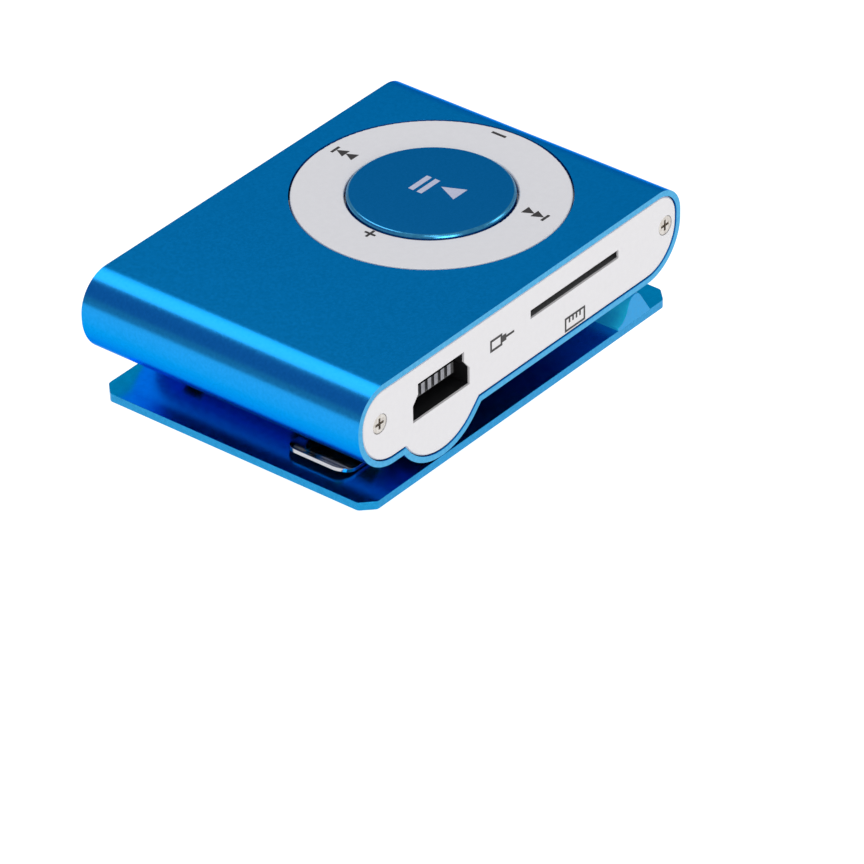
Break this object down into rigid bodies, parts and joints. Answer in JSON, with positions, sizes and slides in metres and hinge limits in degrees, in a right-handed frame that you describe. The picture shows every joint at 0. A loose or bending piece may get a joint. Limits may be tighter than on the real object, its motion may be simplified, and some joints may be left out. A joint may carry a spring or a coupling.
{
  "type": "digital audio player",
  "caption": "Clip-on digital audio player: blue metal case, white end caps and control ring, centre button, data port, card slot, audio jack and a sprung clip plate.",
  "frame": {"origin": "centre of the bounding box at the underside of the clip plate", "axes": "+X along the length from the hinge end to the clip's jaw, +Z out of the control face, -Y is the end with the data port and card slot"},
  "size_m": [0.0408, 0.028, 0.0115],
  "materials": {
    "blue_case": "anodised bright blue, fine bead-blasted satin",
    "blue_button": "anodised blue, satin, bright cut edge",
    "blue_clip": "anodised blue, smoother and more reflective",
    "white_plastic": "moulded white plastic, semi-gloss",
    "ring_white": "moulded white plastic, semi-matte",
    "black_plastic": "black moulded nylon",
    "bright_steel": "plated steel, bright",
    "socket_steel": "tinned steel sheet",
    "spring_chrome": "polished spring steel",
    "contact_gold": "gold-plated contacts",
    "board": "green solder mask",
    "chip_black": "epoxy package",
    "chip_brown": "ceramic chips",
    "battery_wrap": "laminated foil pouch",
    "foam": "adhesive foam",
    "keypad_amber": "polyimide film board",
    "silicone": "translucent silicone rubber",
    "clear_window": "clear light window"
  },
  "bodies": {
    "player": {"body_shell": "blue_case", "end_cap_front": "white_plastic", "end_cap_back": "white_plastic", "cap_screws": "bright_steel", "hinge_pin": "bright_steel", "main_board": "board", "processor_chip": "chip_black", "memory_chip": "chip_black", "clock_crystal": "bright_steel", "passive_chips": "chip_brown", "data_port_shell": "socket_steel", "data_port_insulator": "black_plastic", "data_port_contacts": "contact_gold", "card_socket_base": "black_plastic", "card_socket_cover": "socket_steel", "card_socket_contacts": "contact_gold", "audio_jack_body": "black_plastic", "audio_jack_collar": "bright_steel", "audio_jack_contacts": "contact_gold", "battery_cell": "battery_wrap", "battery_pad": "foam", "battery_tabs": "socket_steel", "keypad_board": "keypad_amber", "keypad_posts": "white_plastic", "keypad_ribbon": "keypad_amber", "keypad_domes": "bright_steel", "switch_can": "socket_steel", "status_light": "white_plastic", "light_window": "clear_window"},
    "rocker": {"key_pad": "silicone"},
    "ring": {"control_ring": "ring_white"},
    "button": {"select_button": "blue_button", "select_button_base": "white_plastic"},
    "power_knob": {"switch_knob": "black_plastic"},
    "clip": {"clip_plate": "blue_clip", "hinge_lugs": "socket_steel", "clip_spring": "spring_chrome"}
  },
  "joints": [
    {"name": "clip_hinge", "type": "hinge", "parent": "player", "child": "clip", "pos_m": [-0.0115, 0, 0.00255], "axis": [0, 1, 0], "range_deg": [0, 16], "stiffness_Nm_per_rad": 0.25, "springref_deg": -22.92},
    {"name": "ring_rock_x", "type": "hinge", "parent": "player", "child": "rocker", "pos_m": [0.00655, 0.0004, 0.0103], "axis": [1, 0, 0], "range_deg": [-1, 1], "stiffness_Nm_per_rad": 1},
    {"name": "ring_rock_y", "type": "hinge", "parent": "rocker", "child": "ring", "pos_m": [0.00655, 0.0004, 0.0103], "axis": [0, 1, 0], "range_deg": [-1, 1], "stiffness_Nm_per_rad": 1},
    {"name": "select_press", "type": "slide", "parent": "player", "child": "button", "axis": [0, 0, -1], "range_m": [0, 0.00025], "stiffness_N_per_m": 6000},
    {"name": "power_slide", "type": "slide", "parent": "player", "child": "power_knob", "axis": [1, 0, 0], "range_m": [0, 0.002]}
  ]
}
